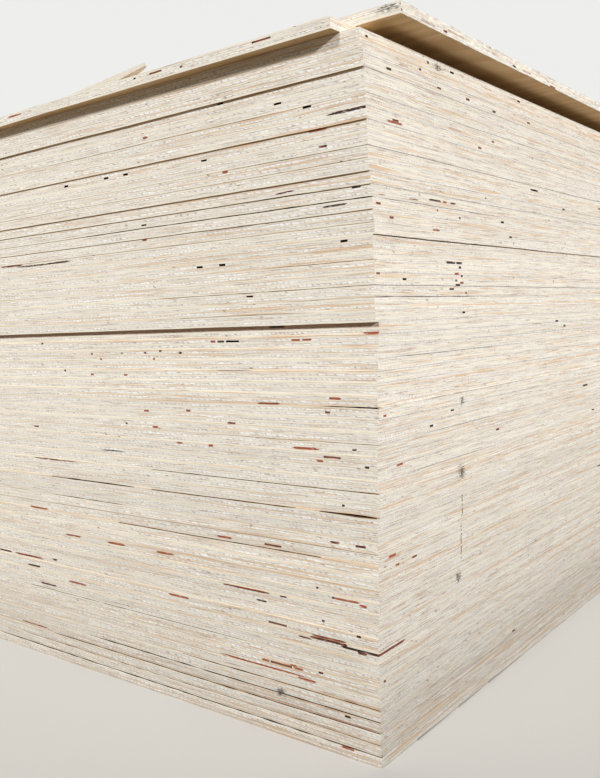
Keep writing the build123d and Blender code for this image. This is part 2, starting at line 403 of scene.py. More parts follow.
class Graph:
    """The nodes of one material, or of the world."""

    def __init__(self, owner):
        owner.use_nodes = True
        self.owner = owner
        self.tree = owner.node_tree
        self.tree.nodes.clear()

    def node(self, kind, settings, inputs):
        """Adds a node: its settings first, then the values or wires of its sockets. Gives its outputs."""
        node = self.tree.nodes.new(kind)
        for name, value in settings.items():
            setattr(node, name, value)
        for socket in node.inputs:
            if socket.identifier in inputs:
                self.feed(socket, inputs[socket.identifier])
        return {socket.identifier: Wire(self, socket) for socket in node.outputs}

    def feed(self, socket, value):
        """Links a wire to a socket, or sets the socket's own value."""
        if isinstance(value, Wire):
            self.tree.links.new(value.socket, socket)
        elif socket.type == "RGBA" and len(value) == 3:
            socket.default_value = (*value, 1.0)
        else:
            socket.default_value = value

    def principled(self, **inputs):
        """A Principled shader, with _ for a space in the names of its sockets."""
        inputs = {name.replace("_", " "): value for name, value in inputs.items()}
        return self.node("ShaderNodeBsdfPrincipled", {}, inputs)["BSDF"]

    def fade(self, factor, first, second):
        """The first shader, or the second where the factor is 1."""
        inputs = {"Fac": factor, "Shader": first, "Shader_001": second}
        return self.node("ShaderNodeMixShader", {}, inputs)["Shader"]

    def finish(self, shader, kind="ShaderNodeOutputMaterial"):
        """Leads a shader to the output, and gives the material or world."""
        self.node(kind, {}, {"Surface": shader})
        return self.owner

    def split(self, vector):
        """X, Y and Z of a vector."""
        parts = self.node("ShaderNodeSeparateXYZ", {}, {"Vector": vector})
        return parts["X"], parts["Y"], parts["Z"]

    def object_point(self):
        """X, Y and Z of the shaded point in metres."""
        return self.split(self.node("ShaderNodeTexCoord", {}, {})["Object"])

    def edge_point(self):
        """Metres along the edge, and plies up the stack."""
        return self.split(self.node("ShaderNodeUVMap", {"uv_map": "edge"}, {})["UV"])[:2]

    def attribute(self, name):
        return self.node("ShaderNodeAttribute", {"attribute_name": name}, {})["Fac"]

    def point(self, x, y, z=0.0):
        return self.node("ShaderNodeCombineXYZ", {}, {"X": x, "Y": y, "Z": z})["Vector"]

    def noise(self, x, y, z=0.0, detail=2.0, roughness=0.5, distortion=0.0):
        """Soft noise around 0.5, about one bump for each unit of the coordinates."""
        inputs = {
            "Vector": self.point(x, y, z),
            "Scale": 1.0,
            "Detail": detail,
            "Roughness": roughness,
            "Distortion": distortion,
        }
        return self.node("ShaderNodeTexNoise", {"noise_dimensions": "3D"}, inputs)["Fac"]

    def dots(self, x, y, z=0.0):
        """Distance from the nearest of scattered dots, one a unit, and a random number of each dot."""
        cells = self.node("ShaderNodeTexVoronoi", {}, {"Vector": self.point(x, y, z), "Scale": 1.0})
        picked = self.node("ShaderNodeSeparateColor", {}, {"Color": cells["Color"]})
        return cells["Distance"], picked["Red"], picked["Green"]

    def chance(self, value):
        """A random number that stays the same where the value does."""
        return self.node("ShaderNodeTexWhiteNoise", {"noise_dimensions": "1D"}, {"W": value})["Value"]

    def mix(self, factor, first, second, blend="MIX"):
        """The first colour, or the second where the factor is 1."""
        settings = {"data_type": "RGBA", "blend_type": blend}
        inputs = {"Factor_Float": factor, "A_Color": first, "B_Color": second}
        return self.node("ShaderNodeMix", settings, inputs)["Result_Color"]

    def blend(self, factor, first, second):
        """The first number, or the second where the factor is 1."""
        inputs = {"Factor_Float": factor, "A_Float": first, "B_Float": second}
        return self.node("ShaderNodeMix", {"data_type": "FLOAT"}, inputs)["Result_Float"]

    def shade(self, tint, amount):
        """A colour made lighter or darker by a factor."""
        grey = self.node("ShaderNodeCombineColor", {}, {"Red": amount, "Green": amount, "Blue": amount})
        return self.mix(1.0, tint, grey["Color"], "MULTIPLY")

    def bump(self, height, distance):
        """Surface normal of a relief whose height runs from 0 to 1 over that distance."""
        inputs = {"Height": height, "Distance": distance, "Strength": 1.0}
        return self.node("ShaderNodeBump", {}, inputs)["Normal"]


def long_grain(graph, wood, along, height, sheet, ply, lower, painted_far_light):
    """Colour and relief of plies whose grain runs along the edge: cream with thin tan streaks."""
    own = graph.chance(ply)
    broad = graph.noise(along * 5.0, height * 0.7, sheet * 3.7)
    thin = graph.noise(along * 11.0, height * 2.1, sheet * 9.1, detail=3.0, roughness=0.6, distortion=0.6)
    tone = thin + broad * 0.5 + own * 0.20 + lower * 0.05 - 0.35
    # Painted light thins the tan streaks towards the far end of the long edges.
    tint = graph.mix(tone.step(0.53, 0.66) * (1.0 - painted_far_light), wood.cream, wood.tan)
    hair = graph.noise(along * 14.0, height * 2.4, ply, detail=4.0, roughness=0.65)
    tint = graph.mix(hair.step(0.55, 0.69) * 0.8, tint, wood.rose)
    threads = graph.noise(along * 70.0, height * 9.0, ply)
    return graph.shade(tint, threads * 0.12 + 0.94), threads * 0.5 + thin * 0.5


def end_grain(graph, wood, along, height, ply, level, period, slant, strength):
    """Colour and relief of plies cut across their grain: bright torn dashes among grey hairs."""
    wander = graph.noise(along * 24.0, ply * 5.3)
    pitch = graph.chance(ply * 0.37) * 0.8 + 0.7
    phase = along * pitch * (1.0 / period) + level * slant + wander * 2.6
    own = graph.chance(phase.floor() + ply * 57.0)
    lot = graph.chance(phase.floor() * 1.7 + ply * 31.0)
    beat = phase.fract()
    dash = beat.step(0.0, 0.16) * beat.step(own * 0.22 + 0.84, own * 0.22 + 0.62)
    torn = graph.noise(along * 230.0, height * 2.4, ply)
    lens = ((level + (lot - 0.5) * 0.25).distance_to(0.5) + torn * 0.3).step(0.60, 0.34)
    stretch = graph.noise(along * 7.0, ply * 3.1).step(0.34, 0.54)
    bright = dash * lens * (own * 0.45 + 0.55) * (stretch * 0.65 + 0.35)
    patch = graph.noise(along * 20.0, height * 1.6, ply, detail=3.0, roughness=0.6)
    ground = graph.mix(patch.step(0.52, 0.70), wood.grey, wood.cream)
    hair = graph.noise(along * 22.0, height * 2.2, ply * 1.7, detail=4.0, roughness=0.65, distortion=0.3)
    ground = graph.mix(hair.step(0.52, 0.66) * 0.95, ground, wood.rose)
    split = graph.noise(phase * 0.9, level * 1.6, ply, roughness=0.7)
    ground = graph.mix(split.step(0.56, 0.70) * stretch * 0.6, ground, wood.check)
    tint = graph.mix(bright * strength, ground, wood.white)
    return tint, bright * 0.25 + torn * 0.75


def edge_wood(name, wood, ends_odd):
    """Sawn edge of the sheets: on the long edges the odd plies show end grain, on the short the even."""
    graph = Graph(bpy.data.materials.new(name))
    along, height = graph.edge_point()
    sheet = (height / PLIES).floor()
    # Painted shade: the edges darken towards the bottom of the stack, more on the short edges; the long
    # grain there also turns a little tanner.
    lower = sheet.step(36.0, 2.0) * 0.7 + sheet.step(11.0, 1.0) * 0.6
    within = height - sheet * PLIES
    # Painted light: the long edges turn paler and calmer from x = 1.14 m to x = 0.62 m, and stay so towards
    # their far end.
    painted_far_light = along.step(1.14, 0.62) * 0.5 if ends_odd else 0.0
    bend, sway = (40.0, 1.5) if ends_odd else (16.0, 3.0)
    wobble = (graph.noise(along * bend, height * 0.8, sheet * 2.3, detail=3.0) - 0.5) * sway
    wobble = wobble * within.least(PLIES - within).step(0.0, 0.7)
    within = within + wobble
    ply_in_sheet = within.floor()
    level = within.fract()
    ply = sheet * PLIES + ply_in_sheet
    odd = (ply_in_sheet * 0.5).fract() * 2.0
    is_end = odd if ends_odd else 1.0 - odd

    side_tint, side_relief = long_grain(graph, wood, along, height, sheet, ply, lower, painted_far_light)
    period, slant, strength = (9.6 * MM, 0.35, 1.0) if ends_odd else (3.6 * MM, 0.9, 0.7)
    end_tint, end_relief = end_grain(graph, wood, along, height, ply, level, period, slant, strength)
    tint = graph.mix(is_end, side_tint, end_tint)
    relief = graph.blend(is_end, side_relief, end_relief)

    glue = level.least(1.0 - level).step(0.20, 0.0)
    glue = glue * graph.noise(along * 18.0, ply * 2.7).step(0.44, 0.66)
    tint = graph.mix(glue * 0.5, tint, wood.rose)

    grit = graph.noise(along * 420.0, height * 1.7, sheet, detail=3.0, roughness=0.7)
    tone = graph.chance(sheet + 0.5)
    slow = graph.noise(along * 2.2, sheet * 1.3, detail=1.0)
    mottle = graph.noise(along * 30.0, height * 0.5, sheet, detail=4.0, roughness=0.7)
    # The second number of each pair is how much painted shade darkens the lowest sheets.
    level_tone, painted_low_shade = (0.59, 0.15) if ends_odd else (0.67, 0.32)
    shade = grit * 0.46 + tone * 0.06 + slow * 0.10 + mottle * 0.30 - lower * painted_low_shade + level_tone
    # Painted light brightens the far end of the long edges.
    tint = graph.shade(tint, shade + painted_far_light * 0.08)

    far, pick, turn = graph.dots(along * 90.0 + level * 0.35, ply + level * 0.6)
    speck = far.step(0.30, 0.12) * pick.step(0.90, 0.95)
    tint = graph.mix(speck * (turn * 0.7 + 0.25), tint, wood.check)

    mark = graph.attribute("mark")
    edge_noise = (graph.noise(along * 260.0, height * 3.0, detail=3.0) - 0.5) * 1.1
    streak = (mark * 0.62 - level.distance_to(0.5) + edge_noise * mark).step(0.0, 0.10)
    patchy = graph.noise(along * 90.0, height * 2.0)
    black = graph.attribute("black")
    dark = (black + (patchy - 0.5) * 1.2).step(0.05, 0.85)
    streak_tint = graph.mix(dark, wood.bark, wood.black)
    cover = streak * patchy.step(0.15, 0.45) * (1.0 - black.step(-0.4, -0.9) * 0.68)
    tint = graph.mix(cover, tint, streak_tint)

    soot = graph.attribute("soot")
    rubbed = (soot + graph.noise(along * 220.0, height * 1.8, detail=3.0) * 2.4 - 1.2).step(0.30, 1.15)
    tint = graph.mix(rubbed * 0.85, tint, wood.soot)

    relief = relief * 0.4 + grit * 0.6 - speck * 0.6 - streak * 0.7
    return graph.finish(graph.principled(
        Base_Color=tint,
        Roughness=relief * 0.15 + 0.72,
        Normal=graph.bump(relief, 0.22 * MM),
    ))


def veneer_wood(name, wood):
    """Rotary-cut face veneer: a flowing figure along the sheet, fine fibres and a few knots."""
    graph = Graph(bpy.data.materials.new(name))
    x, y, z = graph.object_point()
    storey = (z * (1.0 / PITCH) + 0.3).floor()
    broad = graph.noise(x * 0.8, y * 5.0, storey * 4.1, detail=1.5)
    knot_far, knot_pick, knot_size = graph.dots(x * 2.2, y * 5.0, storey * 3.0)
    pull = knot_far.step(0.30, 0.0) * 0.10
    bands = ((broad + pull) * 17.0).fract()
    figure = bands.step(0.0, 0.75) * bands.step(1.0, 0.88)
    fibres = graph.noise(x * 14.0, y * 520.0, storey, roughness=0.6)
    tint = graph.mix(figure * 0.55, wood.veneer, wood.veneer_dark)
    # Upward broad faces are mixed towards cream, paler than the undersides of the same veneer.
    tint = graph.mix(graph.attribute("upward_paler") * 0.6, tint, wood.cream)
    patches = graph.noise(x * 2.0, y * 9.0, storey * 1.7)
    tint = graph.shade(tint, fibres * 0.20 + patches * 0.16 + 0.82)
    knot = knot_far.step(0.065, 0.035) * knot_pick.step(0.62, 0.66)
    ring = knot_far.step(0.09, 0.06) * knot_pick.step(0.62, 0.66)
    tint = graph.mix(ring * 0.5, tint, wood.bark)
    tint = graph.mix(knot * 0.85, tint, wood.check)
    relief = fibres * 0.6 + figure * 0.25 - knot * 0.5
    return graph.finish(graph.principled(
        Base_Color=tint,
        Roughness=fibres * 0.2 + 0.6,
        Specular_IOR_Level=0.25,
        Normal=graph.bump(relief, 0.25 * MM),
    ))


def rough_wood(name, ground, dark):
    """Wood inside the gaps, painted dark for the shade in them, and bark caught in them: dull, with streaks.
    """
    graph = Graph(bpy.data.materials.new(name))
    x, y, z = graph.object_point()
    streaks = graph.noise(x * 60.0, y * 60.0, z * 900.0)
    return graph.finish(graph.principled(
        Base_Color=graph.shade(graph.mix(streaks.step(0.4, 0.7), ground, dark), streaks * 0.5 + 0.6),
        Roughness=0.9,
        Normal=graph.bump(streaks, 0.3 * MM),
    ))


def torn_wood(name, wood):
    """Wood torn along its grain: pale, with threads along X and fine cross marks."""
    graph = Graph(bpy.data.materials.new(name))
    x, y, z = graph.object_point()
    threads = graph.noise(x * 40.0, y * 900.0, z * 900.0, detail=3.0)
    hatch = graph.noise(x * 700.0, y * 120.0, z * 60.0)
    tint = graph.mix(threads.step(0.45, 0.75) * 0.7, wood.cream, wood.tan)
    return graph.finish(graph.principled(
        Base_Color=graph.shade(tint, threads * 0.2 + hatch * 0.3 + 0.78),
        Roughness=0.8,
        Normal=graph.bump(threads * 0.6 + hatch * 0.4, 0.4 * MM),
    ))


def finishes():
    """The materials of a sheet, made once."""
    wood = bpy.context.scene.plywood_wood
    made = {
        "long_edge_wood": (edge_wood, wood, True),
        "short_edge_wood": (edge_wood, wood, False),
        "veneer_face": (veneer_wood, wood),
        "gap_wood": (rough_wood, wood.gap, wood.check),
        "torn_wood": (torn_wood, wood),
        "caught_bark": (rough_wood, wood.bark, wood.check),
    }
    return [bpy.data.materials.get(name) or make(name, *rest) for name, (make, *rest) in made.items()]


class Sheet:
    """One sheet's place in the stack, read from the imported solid, and the marks on its edges."""

    def __init__(self, points, bottom, marks):
        self.bottom = bottom
        self.number = round(bottom / PITCH) + 1
        top = [p for p in points if abs(p.z - bottom - THICKNESS) < TOUCH]
        self.corner = {
            name: max(top, key=lambda p: p.x * signs[0] + p.y * signs[1]).xy.to_3d()
            for name, signs in CORNERS.items()
        }
        self.centre = sum(self.corner.values(), Vector()) / len(self.corner)
        self.gaps = [gap for edge in EDGES for gap in self.read_gaps(points, edge)]
        own = [replace(m, middle=m.middle + self.stagger(m.edge)) for m in marks if m.sheet == self.number]
        self.marks = [m for m in own if not self.covers(m)]

    def stagger(self, edge):
        """How far the start of an edge lies before the point that places are counted from."""
        shift = self.corner["near"] - FACE_START
        return {"front": shift.x, "right": -shift.y}.get(edge, 0.0)

    def line(self, edge):
        """Start, direction, inward direction and length of an edge, seen from above."""
        start, end = (self.corner[name] for name in EDGES[edge])
        direction = (end - start).normalized()
        inward = Vector((-direction.y, direction.x, 0))
        if inward.dot(self.centre - start) < 0:
            inward.negate()
        return start, direction, inward, (end - start).length

    def read_gaps(self, points, edge):
        """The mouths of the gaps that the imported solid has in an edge."""
        start, direction, inward, _ = self.line(edge)
        levels = {}
        for p in points:
            offset = p.xy.to_3d() - start
            level = (p.z - self.bottom) / PLY
            in_sheet = 0.5 < level < PLIES - 0.5 and abs(level - round(level)) < 0.02
            if in_sheet and abs(offset.dot(inward)) < TOUCH:
                levels.setdefault(round(offset.dot(direction), 4), set()).add(round(level))
        for ply in (LOWER_CROSS, CORE, UPPER_CROSS):
            sides = sorted(along for along, found in levels.items() if {ply, ply + 1} <= found)
            for left, right in zip(sides[::2], sides[1::2]):
                yield Mark(self.number, ply, edge, (left + right) / 2, right - left, 1.0, hole=1.0)

    def covers(self, mark):
        """Whether a mark would lie on one of the solid's own gaps."""
        row = [g for g in self.gaps if (g.edge, g.ply) == (mark.edge, mark.ply)]
        return any(abs(g.middle - mark.middle) < (g.length + mark.length) / 2 for g in row)


def read_sheets(node, marks):
    """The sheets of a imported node, from the lowest up."""
    points = [v.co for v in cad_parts[node].data.vertices]
    low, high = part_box(node)
    bottoms = [low.z + place * PITCH for place in range(math.ceil((high.z - low.z) / PITCH))]
    topped = [b for b in bottoms if any(abs(p.z - b - THICKNESS) < TOUCH for p in points)]
    return [Sheet(points, bottom, marks) for bottom in topped]


def wander(x, y, z):
    """Smooth noise from -1 to 1."""
    return max(-1.0, min(1.0, 1.6 * noise.noise(Vector((x, y, z)))))


def joint_wave(settings, joint, place):
    """How far the joint between two sheets lies above its level there."""
    if joint in (0, SHEETS):
        return 0.0
    x, y = place.x / settings.wave_length, place.y / settings.wave_length
    ripple = wander(4 * x, 4 * y, joint * 3.31)
    return settings.wave_height * (0.7 * wander(x, y, joint * 5.17) + 0.3 * ripple)


def joint_opening(settings, joint, edge, place):
    """How far two sheets stand apart at their rims there."""
    if joint in (0, SHEETS):
        return 0.0
    along = FACE_START.x - place.x if edge == "front" else place.y - FACE_START.y
    slack = settings.slack * (1.0 + wander(place.x * 9, place.y * 9, joint * 7.7))
    for open_joint in OPEN_JOINTS:
        if open_joint.below == joint and open_joint.edge == edge:
            run_in = (along - open_joint.start) / RUN_IN
            run_out = (open_joint.end - along) / RUN_OUT
            share_open = max(0.0, min(1.0, run_in, run_out))
            ragged = 1 + 0.5 * wander(along * 45, joint, 2)
            slack = max(slack, open_joint.height * share_open * ragged)
    return slack


def cut_edge(edge, vert, distances):
    """Splits an edge at distances from its vertex, in rising order, and gives the new vertices."""
    done, whole = 0.0, edge.calc_length()
    cuts = []
    for distance in distances:
        _, vert = bmesh.utils.edge_split(edge, vert, (distance - done) / (whole - done))
        done = distance
        cuts.append(vert)
    return cuts


def stations(settings, whole, extra, near, fine):
    """Distances along an edge where it has vertices: evenly spread, and at the ends of its marks."""
    even = []
    along = 0.0
    close = settings.fine_spacing if fine else settings.near_spacing
    while True:
        along += close if near and along < settings.near_stretch else settings.far_spacing
        if along > whole - close:
            break
        even.append(along)
    extra = sorted({round(e, 5) for e in extra if END_MARGIN < e < whole - END_MARGIN})
    clear = [e for e in even if all(abs(e - x) > MARK_MARGIN for x in extra)]
    return sorted(clear + extra)


def mark_stations(mark):
    """Ends of a mark and the places between where its height is set."""
    first = mark.middle - mark.length / 2
    parts = max(2, round(mark.length / (3 * MM))) if mark.hole else 6
    return [first + mark.length * part / parts for part in range(parts + 1)]


def mark_height(mark, along):
    """Height of a mark there, from 0 at its tips to 1."""
    place = (along - mark.middle) / (mark.length / 2)
    return 1.2 * mark.thick * max(0.0, 1.0 - abs(place) ** 5)


def corners_of(faces):
    """The vertices of faces, each once, and in the same order every time."""
    return list(dict.fromkeys(vert for face in faces for vert in face.verts))


def cover(verts, material):
    """Gives the faces round some vertices a material."""
    for vert in verts:
        for face in vert.link_faces:
            face.material_index = material


class SheetBuilder:
    """Adds sheets to a mesh, ply by ply."""

    def __init__(self, settings):
        self.settings = settings
        self.bm = bmesh.new()
        verts, faces, loops = self.bm.verts.layers, self.bm.faces.layers, self.bm.loops.layers
        self.row = verts.int.new("row")
        self.edge_code = verts.int.new("edge_code")
        self.along = verts.float.new("along")
        self.face_row = faces.int.new("face_row")
        self.face_edge = faces.int.new("face_edge")
        self.uv = loops.uv.new("edge")
        self.mark = loops.float.new("mark")
        self.black = loops.float.new("black")
        self.soot = loops.float.new("soot")
        self.upward_paler = loops.float.new("upward_paler")

    def add(self, sheet, shape_rims=None):
        """Adds one sheet. shape_rims may move its edge vertices further, by their row and place."""
        walls, rings = self.raise_walls(sheet)
        self.settle(sheet, corners_of(walls), shape_rims)
        self.shade_open_joints(sheet, rings)
        inner = [vert for ring in rings for vert in corners_of(ring)]
        bmesh.ops.remove_doubles(self.bm, verts=inner, dist=SAME_PLACE)
        self.paint(sheet, walls)
        self.bm.normal_update()
        for mark in sheet.gaps + [m for m in sheet.marks if m.hole]:
            self.open_gap(sheet, walls, mark)
        for gap in sheet.gaps:
            if (gap.edge, sheet.number) in BARKED:
                self.add_bark(sheet, gap)

    def outline(self, sheet):
        """The sheet's underside as one face, with a vertex at each station of its edges."""
        verts = {name: self.bm.verts.new(place) for name, place in sheet.corner.items()}
        for vert in verts.values():
            vert.co.z = sheet.bottom
            vert[self.edge_code] = AT_CORNER
        face = self.bm.faces.new(list(verts.values()))
        for code, (name, ends) in enumerate(EDGES.items()):
            extra = [s for m in sheet.marks + sheet.gaps if m.edge == name for s in mark_stations(m)]
            extra += sheet_notches(sheet, name)
            edge = self.bm.edges.get([verts[end] for end in ends])
            near = "near" in ends
            along = stations(self.settings, edge.calc_length(), extra, near, sheet.number > SHEETS - 2)
            for vert, distance in zip(cut_edge(edge, verts[ends[0]], along), along):
                vert[self.edge_code] = code
                vert[self.along] = distance
        return face

    def raise_walls(self, sheet):
        """Extrudes the outline up by one ply at a time, caps it, and gives the wall faces."""
        face = self.outline(sheet)
        rim = list(face.edges)
        walls = []
        for row in range(PLIES):
            made = bmesh.ops.extrude_edge_only(self.bm, edges=rim)["geom"]
            verts = {g for g in made if isinstance(g, bmesh.types.BMVert)}
            rim = [g for g in made if isinstance(g, bmesh.types.BMEdge) and verts.issuperset(g.verts)]
            for vert in verts:
                vert.co.z += PLY
                vert[self.row] = row + 1
            for wall in (g for g in made if isinstance(g, bmesh.types.BMFace)):
                wall[self.face_row] = row
                wall[self.face_edge] = min(v[self.edge_code] for v in wall.verts)
                long_edge = EDGE_NAMES[wall[self.face_edge]] in LONG_EDGES
                wall.material_index = LONG_WOOD if long_edge else SHORT_WOOD
                walls.append(wall)
        cap = bmesh.ops.contextual_create(self.bm, geom=rim)["faces"][0]
        rings = [self.inset_rim(sheet, face), self.inset_rim(sheet, cap)]
        # Caps and the rings round them face up and are marked to be made paler.
        for loop in (loop for part in (cap, *rings[1]) for loop in part.loops):
            loop[self.upward_paler] = 1.0
        return walls, rings

    def inset_rim(self, sheet, face):
        """Gives a broad face a strip along its edges, as wide as the rim also at the corners."""
        width = self.settings.rim
        face.normal_update()
        ring = bmesh.ops.inset_individual(self.bm, faces=[face], thickness=width, use_even_offset=True)
        ring = ring["faces"]
        for part in (face, *ring):
            part.material_index = FACE_WOOD
        for start, _, inward, _ in (sheet.line(name) for name in EDGES):
            for vert in face.verts:
                short = width - (vert.co - start).dot(inward)
                vert.co += inward * max(0.0, short)
        return ring

    def shade_open_joints(self, sheet, rings):
        """Paints shade on the strips inside an open joint of a long edge: they take the dark gap wood,
        unlike the clean broad faces.
        """
        for joint, ring in zip((sheet.number - 1, sheet.number), rings):
            for face in ring:
                vert = min(face.verts, key=lambda v: (v[self.edge_code], -v[self.along]))
                name = EDGE_NAMES[vert[self.edge_code] % AT_CORNER]
                if name in LONG_EDGES and joint_opening(self.settings, joint, name, vert.co) > SHADED_OPENING:
                    face.material_index = SHADED_GAP_WOOD

    def settle(self, sheet, verts, shape_rims):
        """Moves the edge vertices to where the joints, the saw and wear put them."""
        s = self.settings
        lines = {name: sheet.line(name) for name in EDGES}
        below, above = sheet.number - 1, sheet.number
        for vert in verts:
            row = vert[self.row]
            place = vert.co.copy()
            if vert[self.edge_code] == AT_CORNER:
                inward = sheet.centre - place
                inward = Vector((math.copysign(1, inward.x), math.copysign(1, inward.y), 0))
                name = "front" if place.y < 0 else "back"
            else:
                name = EDGE_NAMES[vert[self.edge_code]]
                inward = lines[name][2]
            low = joint_wave(s, below, place) + joint_opening(s, below, name, place) / 2
            high = joint_wave(s, above, place) - joint_opening(s, above, name, place) / 2
            if below:
                low -= (PITCH - THICKNESS) / 2
            if above < SHEETS:
                high += (PITCH - THICKNESS) / 2
            rise = low + (high - low) * row / PLIES
            if 0 < row < PLIES:
                rise += s.ply_wave * wander(place.x * 11, place.y * 11, sheet.number * 8.3 + row)
                back = s.saw_relief
            else:
                back = s.arris_wear * (1 + 7 * max(0.0, 1 - sheet.number / WORN_SHEETS))
            spread = wander(place.x * 60, place.y * 60, sheet.number * 6.1 + row)
            vert.co.z += rise
            vert.co += inward * back * (0.55 + 0.45 * spread)
            if shape_rims:
                shape_rims(vert, row, name, vert[self.along], inward)

    def paint(self, sheet, walls):
        """Writes where each wall lies along the edge and up the stack, and its marks."""
        by_place = {}
        for mark in sheet.marks:
            if not mark.hole:
                by_place.setdefault((mark.edge, mark.ply), []).append(mark)
        smudges = [m for m in SMUDGES if abs(m.sheet + 0.5 - sheet.number) <= m.reach + 0.5]
        lines = {name: sheet.line(name) for name in EDGES}
        for wall in walls:
            name = EDGE_NAMES[wall[self.face_edge]]
            start, direction, _, _ = lines[name]
            marks = by_place.get((name, wall[self.face_row]))
            for loop in wall.loops:
                vert = loop.vert
                along = vert.co.x if name in LONG_EDGES else vert.co.y
                distance = (vert.co - start).dot(direction)
                loop[self.uv].uv = (along, (sheet.number - 1) * PLIES + vert[self.row])
                if marks:
                    best = max(marks, key=lambda m: mark_height(m, distance))
                    loop[self.mark] = mark_height(best, distance)
                    loop[self.black] = best.black
                if smudges:
                    counted = distance - sheet.stagger(name)
                    height = sheet.number - 1 + vert[self.row] / PLIES
                    loop[self.soot] = max(m.strength(name, counted, height) for m in smudges)

    def open_gap(self, sheet, walls, mark):
        """Pushes the wall of one ply in between two places, as a pocket that narrows."""
        start, direction, inward, _ = sheet.line(mark.edge)
        code = EDGE_NAMES.index(mark.edge)
        mouth = []
        for wall in walls:
            if wall.is_valid and wall[self.face_edge] == code and wall[self.face_row] == mark.ply:
                distance = (wall.calc_center_median() - start).dot(direction)
                if abs(distance - mark.middle) < mark.length / 2:
                    mouth.append(wall)
        depth = self.settings.gap_depth if mark.hole == 1.0 else mark.hole
        lip = self.settings.mouth_lip
        bmesh.ops.inset_region(self.bm, faces=mouth, thickness=lip, use_even_offset=True)
        for vert in corners_of(mouth):
            ragged = wander(vert.co.x * 210, vert.co.y * 210, vert.co.z * 210)
            vert.co.z += lip * ragged
        made = bmesh.ops.extrude_face_region(self.bm, geom=mouth)["geom"]
        for vert in (g for g in made if isinstance(g, bmesh.types.BMVert)):
            offset = (vert.co - start).dot(direction) - mark.middle
            vert.co += inward * depth - direction * offset * (1 - self.settings.gap_tail)
        ends = [g for g in made if isinstance(g, bmesh.types.BMFace)]
        # The pocket's walls take the dark gap wood: painted shade.
        for face in {f for end in ends for edge in end.edges for f in edge.link_faces}:
            face.material_index = SHADED_GAP_WOOD
        bmesh.ops.delete(self.bm, geom=[f for f in mouth if f.is_valid], context="FACES")
        walls[:] = [w for w in walls if w.is_valid]

    def add_bark(self, sheet, gap):
        """A lump of bark caught just inside the mouth of a gap."""
        start, direction, inward, _ = sheet.line(gap.edge)
        middle = start + direction * gap.middle + inward * 1.2 * MM
        middle.z = sheet.bottom + (gap.ply + 0.5) * PLY
        made = bmesh.ops.create_icosphere(self.bm, subdivisions=3, radius=1.0)["verts"]
        for vert in made:
            along, across, up = (math.copysign(abs(c) ** 0.6, c) for c in vert.co)
            ragged = 0.85 + 0.2 * wander(along * 5, up * 2, gap.middle * 90)
            vert.co = middle + direction * along * gap.length * 0.48 + inward * across * 1.1 * MM * ragged
            vert.co.z += up * ragged * PLY * 0.5
        cover(made, BARK_WOOD)

    def add_splinter(self, sheet):
        """The splinter torn up from the front edge: thin at its root, free from its crotch to its tip."""
        start, direction, inward, _ = sheet.line("front")
        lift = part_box(SPLINTERED)[1].z - sheet.bottom - THICKNESS
        ring = bmesh.ops.create_circle(self.bm, segments=4, radius=1 * MM, cap_ends=True)["verts"]
        for corner, vert in enumerate(ring):
            vert[self.row] = corner
        section = ring[0].link_faces[0]
        faces = {section}
        for along, corners in splinter_sections(lift):
            if along < ROOT:
                made = bmesh.ops.extrude_face_region(self.bm, geom=[section])["geom"]
                section = next(g for g in made if isinstance(g, bmesh.types.BMFace))
            for vert in section.verts:
                across, height = corners[vert[self.row]]
                vert.co = start + direction * along + inward * across
                vert.co.z = sheet.bottom + THICKNESS + height
                faces.update(vert.link_faces)
        for face in faces:
            if face.is_valid:
                face.material_index = TORN_WOOD

    def add_fibre(self, sheet, edge, rng):
        """A thin sliver that stands off one of the arrises."""
        start, direction, inward, whole = sheet.line(edge)
        size = rng.uniform(2.0, 5.5) * MM
        made = bmesh.ops.create_cone(
            self.bm, segments=3, cap_ends=True, radius1=0.2 * MM, radius2=0.04 * MM, depth=size
        )["verts"]
        lean = direction * rng.choice((-1, 1)) - inward * rng.uniform(0.02, 0.16)
        lean.z += rng.uniform(-0.35, 0.5) if sheet.number < SHEETS - 1 else -0.2
        turn = lean.to_track_quat("Z", "Y").to_matrix().to_4x4()
        place = start + direction * rng.uniform(0.01, min(whole, self.settings.near_stretch))
        place += inward * 0.1 * MM
        place.z = sheet.bottom + rng.choice((1, PLIES - 1)) * PLY
        bmesh.ops.transform(self.bm, matrix=Matrix.Translation(place) @ turn, verts=made)
        cover(made, TORN_WOOD)

    def finish(self, name, node):
        """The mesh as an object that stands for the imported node."""
        for vert in self.bm.verts:
            vert.co = [max(low, min(high, at)) for low, high, at in zip(*CAD_BOX, vert.co)]
        bmesh.ops.recalc_face_normals(self.bm, faces=self.bm.faces)
        mesh = bpy.data.meshes.new(name)
        self.bm.to_mesh(mesh)
        self.bm.free()
        for material in finishes():
            mesh.materials.append(material)
        piece = bpy.data.objects.new(name, mesh)
        bpy.context.scene.collection.objects.link(piece)
        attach(piece, "root")
        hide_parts(node)
        return piece


@dataclass
class Smudge:
    """A spot of rubbed-in dirt on an edge, centred at a height counted in sheets."""

    edge: str
    middle: float
    sheet: float
    width: float
    reach: float
    depth: float

    def strength(self, edge, along, height):
        if edge != self.edge:
            return 0.0
        across = ((along - self.middle) / self.width) ** 2
        upright = ((height - self.sheet) / self.reach) ** 2
        return self.depth * math.exp(-2 * (across + upright))


SMUDGES = [
    Smudge("front", 129 * MM, 4.08, 10 * MM, 0.65, 1.3),
    Smudge("front", -13 * MM, 61.7, 26 * MM, 0.5, 1.0),
    Smudge("right", 160 * MM, 59.4, 14 * MM, 0.5, 1.2),
    Smudge("right", 190 * MM, 29.2, 9 * MM, 0.8, 1.15),
    Smudge("right", 184 * MM, 22.5, 14 * MM, 1.2, 1.15),
    Smudge("right", 172 * MM, 12.6, 9 * MM, 0.9, 1.3),
]


